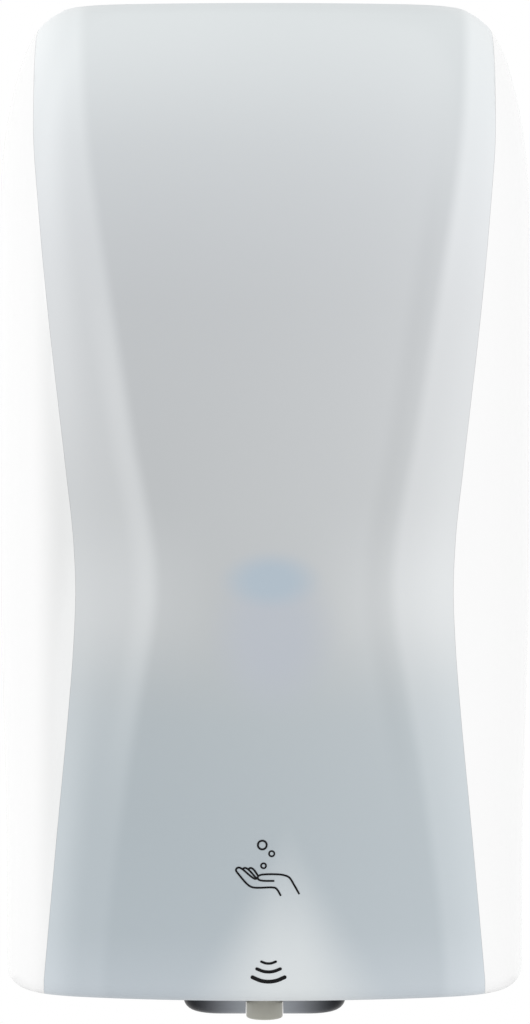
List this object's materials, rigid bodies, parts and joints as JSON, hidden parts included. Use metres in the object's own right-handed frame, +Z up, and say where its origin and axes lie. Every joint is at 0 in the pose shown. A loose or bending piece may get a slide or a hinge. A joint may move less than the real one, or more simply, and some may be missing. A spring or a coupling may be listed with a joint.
{
  "type": "wall foam soap dispenser",
  "caption": "Touch-free wall dispenser for foam soap: white hinged cover with a waisted translucent front, bottle and foam pump, geared lift drive, battery box and metal-look nozzle tray.",
  "frame": {"origin": "middle of the flat rear face that lies on the wall", "axes": "+X to the viewer's right, +Y into the wall, +Z up; the front faces -Y"},
  "size_m": [0.178, 0.1399, 0.332],
  "materials": {
    "white_shell": "glossy white moulded plastic",
    "frosted_panel": "translucent smoke-grey plastic, glossy outside",
    "grey_plastic": "fine-grained moulded grey plastic",
    "dark_plastic": "fine-grained moulded dark plastic",
    "satin_metal": "dark satin metallised shell",
    "steel": "bright steel",
    "blue_plastic": "blue moulded plastic",
    "bottle_plastic": "milky translucent blow-moulded plastic",
    "white_plastic": "white pump plastic",
    "nozzle_plastic": "pale translucent nozzle plastic",
    "gear_plastic": "natural acetal",
    "circuit_board": "green solder mask",
    "dark_lens": "dark infrared-pass plastic",
    "light_pipe": "clear light pipe",
    "rubber": "black seal rubber",
    "cell_sleeve": "printed cell sleeve, plain",
    "cable": "cable sheath"
  },
  "bodies": {
    "frame": {"wall_plate": "white_shell", "hinge_pin_left": "steel", "hinge_pin_right": "steel", "chassis": "grey_plastic", "chassis_screw_1": "steel", "chassis_screw_2": "steel", "chassis_screw_3": "steel", "chassis_screw_4": "steel", "gearbox_screw_1": "steel", "gearbox_screw_2": "steel", "bottom_tray": "satin_metal", "sensor_window": "dark_lens", "sensor_board": "circuit_board", "ir_emitter": "dark_lens", "ir_receiver": "dark_lens", "guide_rod_left": "steel", "guide_rod_right": "steel", "output_axle": "steel", "second_axle": "steel", "first_axle": "steel", "motor_can": "steel", "motor_end_cap": "dark_plastic", "gearbox_base": "grey_plastic", "gearbox_cover": "grey_plastic", "battery_box": "dark_plastic", "battery_cell_1": "cell_sleeve", "battery_cell_2": "cell_sleeve", "battery_cell_3": "cell_sleeve", "battery_cell_4": "cell_sleeve", "lower_contacts": "steel", "upper_contacts": "steel", "control_housing": "grey_plastic", "control_board": "circuit_board", "status_light": "light_pipe", "motor_cable": "cable", "sensor_cable": "cable", "latch_spring": "steel", "latch_cover": "grey_plastic"},
    "cover": {"cover_shell": "white_shell", "window_panel": "frosted_panel"},
    "latch": {"latch_bolt": "dark_plastic"},
    "cartridge": {"soap_bottle": "bottle_plastic", "bottle_collar": "blue_plastic", "pump_body": "white_plastic", "neck_gasket": "rubber", "inlet_valve": "rubber", "pump_spring": "steel"},
    "pump_piston": {"pump_stem": "white_plastic", "piston_seal": "rubber", "nozzle": "nozzle_plastic"},
    "lift": {"lift_carriage": "gear_plastic"},
    "output_wheel": {"output_gear": "gear_plastic"},
    "second_wheel": {"second_gear": "gear_plastic"},
    "first_wheel": {"first_gear": "gear_plastic"},
    "motor_rotor": {"motor_pinion": "steel", "motor_shaft": "steel"},
    "battery_lid": {"battery_door": "dark_plastic"},
    "switch_knob": {"power_switch": "dark_plastic"},
    "button_cap": {"dose_button": "blue_plastic"}
  },
  "joints": [
    {"name": "cover_hinge", "type": "hinge", "parent": "frame", "child": "cover", "pos_m": [0, -0.018, -0.156], "axis": [1, 0, 0], "range_deg": [0, 90]},
    {"name": "latch_press", "type": "slide", "parent": "frame", "child": "latch", "axis": [0, 0, -1], "range_m": [0, 0.004], "stiffness_N_per_m": 700, "springref_m": -0.003, "deforming": ["latch_spring"]},
    {"name": "lift_stroke", "type": "slide", "parent": "frame", "child": "lift", "axis": [0, 0, 1], "range_m": [0, 0.011]},
    {"name": "cartridge_draw", "type": "slide", "parent": "frame", "child": "cartridge", "axis": [0, -1, 0], "range_m": [0, 0.006]},
    {"name": "pump_stroke", "type": "slide", "parent": "cartridge", "child": "pump_piston", "axis": [0, 0, 1], "range_m": [0, 0.011], "stiffness_N_per_m": 500, "springref_m": -0.01, "deforming": ["pump_spring"]},
    {"name": "output_turn", "type": "hinge", "parent": "frame", "child": "output_wheel", "pos_m": [0.036, -0.09, -0.1], "axis": [0, 1, 0], "range_deg": [0, 70.17]},
    {"name": "second_turn", "type": "hinge", "parent": "frame", "child": "second_wheel", "pos_m": [0.04138, -0.09, -0.07991], "axis": [0, 1, 0], "range_deg": [-233.89, 0]},
    {"name": "first_turn", "type": "hinge", "parent": "frame", "child": "first_wheel", "pos_m": [0.05489, -0.09, -0.07211], "axis": [0, 1, 0], "range_deg": [0, 779.65]},
    {"name": "motor_turn", "type": "hinge", "parent": "frame", "child": "motor_rotor", "pos_m": [0.0575, -0.09, -0.08688], "axis": [0, 1, 0], "range_deg": [-3118.59, 0]},
    {"name": "battery_door_draw", "type": "slide", "parent": "frame", "child": "battery_lid", "axis": [0, -1, 0], "range_m": [0, 0.004]},
    {"name": "switch_slide", "type": "slide", "parent": "frame", "child": "switch_knob", "axis": [1, 0, 0], "range_m": [0, 0.003]},
    {"name": "button_press", "type": "slide", "parent": "frame", "child": "button_cap", "axis": [0, 1, 0], "range_m": [0, 0.0012], "stiffness_N_per_m": 500, "springref_m": -0.001}
  ],
  "couplings": [
    {"joint": "pump_stroke", "follows": "lift_stroke", "ratio": 1},
    {"joint": "output_turn", "follows": "lift_stroke", "rad_per_m": 111.11},
    {"joint": "second_turn", "follows": "lift_stroke", "rad_per_m": -370.37},
    {"joint": "first_turn", "follows": "lift_stroke", "rad_per_m": 1234.6},
    {"joint": "motor_turn", "follows": "lift_stroke", "rad_per_m": -4938.3}
  ]
}
